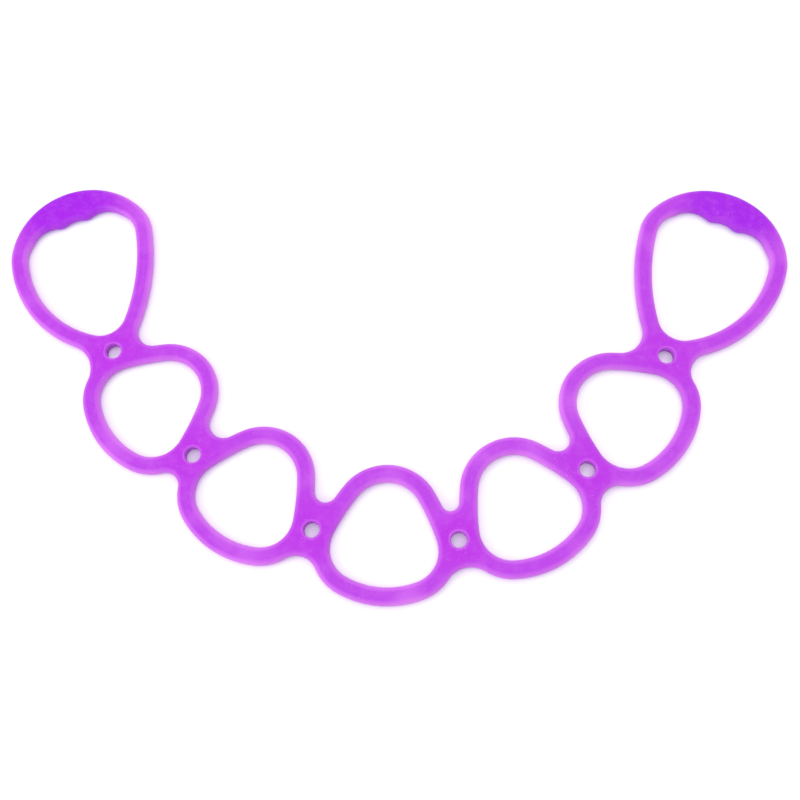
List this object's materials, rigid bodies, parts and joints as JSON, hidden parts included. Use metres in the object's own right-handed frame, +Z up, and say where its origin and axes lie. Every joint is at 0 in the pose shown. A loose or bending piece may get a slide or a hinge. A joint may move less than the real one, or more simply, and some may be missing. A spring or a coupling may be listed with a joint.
{
  "type": "stretching strap",
  "caption": "Soft rubber exercise strap: a row of rounded triangular finger loops between two hand grips, with a small round hole at every joint.",
  "frame": {"origin": "on the flat underside, below the middle of the strap's outline", "axes": "+Z up out of the flat strap, +X along the arc from the left handle towards the right handle, +Y towards the inside of the arc, where the handles point"},
  "size_m": [0.6486, 0.3532, 0.009],
  "materials": {
    "band_rubber": "satin",
    "web_rubber": "satin",
    "grip_rubber": "satin"
  },
  "bodies": {
    "left_grip": {"left_grip": "grip_rubber"},
    "left_arms": {"left_arms": "band_rubber"},
    "web_1": {"web_1": "web_rubber"},
    "loop_1_left": {"loop_1_left": "band_rubber"},
    "loop_1_right": {"loop_1_right": "band_rubber"},
    "web_2": {"web_2": "web_rubber"},
    "loop_2_left": {"loop_2_left": "band_rubber"},
    "loop_2_right": {"loop_2_right": "band_rubber"},
    "web_3": {"web_3": "web_rubber"},
    "loop_3_left": {"loop_3_left": "band_rubber"},
    "loop_3_right": {"loop_3_right": "band_rubber"},
    "web_4": {"web_4": "web_rubber"},
    "loop_4_left": {"loop_4_left": "band_rubber"},
    "loop_4_right": {"loop_4_right": "band_rubber"},
    "web_5": {"web_5": "web_rubber"},
    "loop_5_left": {"loop_5_left": "band_rubber"},
    "loop_5_right": {"loop_5_right": "band_rubber"},
    "web_6": {"web_6": "web_rubber"},
    "right_arms": {"right_arms": "band_rubber"},
    "right_grip": {"right_grip": "grip_rubber"}
  },
  "joints": [
    {"name": "loop_3_stretch", "type": "slide", "parent": "loop_3_left", "child": "loop_3_right", "axis": [0.9981, -0.061, 0], "range_m": [0, 0.03], "stiffness_N_per_m": 1200},
    {"name": "web_4_fold", "type": "hinge", "parent": "loop_3_right", "child": "web_4", "pos_m": [0.04594, -0.12564, 0.009], "axis": [-0.061, -0.9981, 0], "range_deg": [0, 45], "stiffness_Nm_per_rad": 0.3},
    {"name": "web_4_swing", "type": "hinge", "parent": "web_4", "child": "loop_4_left", "pos_m": [0.06134, -0.14735, 0.0045], "axis": [0, 0, -1], "range_deg": [0, 32.7], "stiffness_Nm_per_rad": 2},
    {"name": "loop_4_stretch", "type": "slide", "parent": "loop_4_left", "child": "loop_4_right", "axis": [0.8729, 0.4879, 0], "range_m": [0, 0.03], "stiffness_N_per_m": 1200},
    {"name": "web_5_fold", "type": "hinge", "parent": "loop_4_right", "child": "web_5", "pos_m": [0.14652, -0.076, 0.009], "axis": [0.4879, -0.8729, 0], "range_deg": [0, 45], "stiffness_Nm_per_rad": 0.3},
    {"name": "web_5_swing", "type": "hinge", "parent": "web_5", "child": "loop_5_left", "pos_m": [0.17023, -0.08688, 0.0045], "axis": [0, 0, -1], "range_deg": [0, 25.5], "stiffness_Nm_per_rad": 2},
    {"name": "loop_5_stretch", "type": "slide", "parent": "loop_5_left", "child": "loop_5_right", "axis": [0.5779, 0.8161, 0], "range_m": [0, 0.03], "stiffness_N_per_m": 1200},
    {"name": "web_6_fold", "type": "hinge", "parent": "loop_5_right", "child": "web_6", "pos_m": [0.21535, 0.01331, 0.009], "axis": [0.8161, -0.5779, 0], "range_deg": [0, 45], "stiffness_Nm_per_rad": 0.3},
    {"name": "web_6_swing", "type": "hinge", "parent": "web_6", "child": "right_arms", "pos_m": [0.2416, 0.01409, 0.0045], "axis": [0, 0, -1], "range_deg": [0, 10.2], "stiffness_Nm_per_rad": 2},
    {"name": "right_handle_stretch", "type": "slide", "parent": "right_arms", "child": "right_grip", "axis": [0.4242, 0.9056, 0], "range_m": [0, 0.03], "stiffness_N_per_m": 1200},
    {"name": "web_3_fold", "type": "hinge", "parent": "loop_3_left", "child": "web_3", "pos_m": [-0.04634, -0.11999, 0.009], "axis": [0.061, 0.9981, 0], "range_deg": [0, 45], "stiffness_Nm_per_rad": 0.3},
    {"name": "web_3_swing", "type": "hinge", "parent": "web_3", "child": "loop_2_right", "pos_m": [-0.06339, -0.13996, 0.0045], "axis": [0, 0, 1], "range_deg": [0, 27.7], "stiffness_Nm_per_rad": 2},
    {"name": "loop_2_stretch", "type": "slide", "parent": "loop_2_right", "child": "loop_2_left", "axis": [-0.8554, 0.518, 0], "range_m": [0, 0.03], "stiffness_N_per_m": 1200},
    {"name": "web_2_fold", "type": "hinge", "parent": "loop_2_left", "child": "web_2", "pos_m": [-0.14511, -0.06595, 0.009], "axis": [0.518, 0.8554, 0], "range_deg": [0, 45], "stiffness_Nm_per_rad": 0.3},
    {"name": "web_2_swing", "type": "hinge", "parent": "web_2", "child": "loop_1_right", "pos_m": [-0.1683, -0.07681, 0.0045], "axis": [0, 0, 1], "range_deg": [0, 19.1], "stiffness_Nm_per_rad": 2},
    {"name": "loop_1_stretch", "type": "slide", "parent": "loop_1_right", "child": "loop_1_left", "axis": [-0.6388, 0.7694, 0], "range_m": [0, 0.03], "stiffness_N_per_m": 1200},
    {"name": "web_1_fold", "type": "hinge", "parent": "loop_1_left", "child": "web_1", "pos_m": [-0.22004, 0.01886, 0.009], "axis": [0.7694, 0.6388, 0], "range_deg": [0, 45], "stiffness_Nm_per_rad": 0.3},
    {"name": "web_1_swing", "type": "hinge", "parent": "web_1", "child": "left_arms", "pos_m": [-0.24684, 0.01891, 0.0045], "axis": [0, 0, 1], "range_deg": [0, 18.2], "stiffness_Nm_per_rad": 2},
    {"name": "left_handle_stretch", "type": "slide", "parent": "left_arms", "child": "left_grip", "axis": [-0.3665, 0.9304, 0], "range_m": [0, 0.03], "stiffness_N_per_m": 1200}
  ]
}
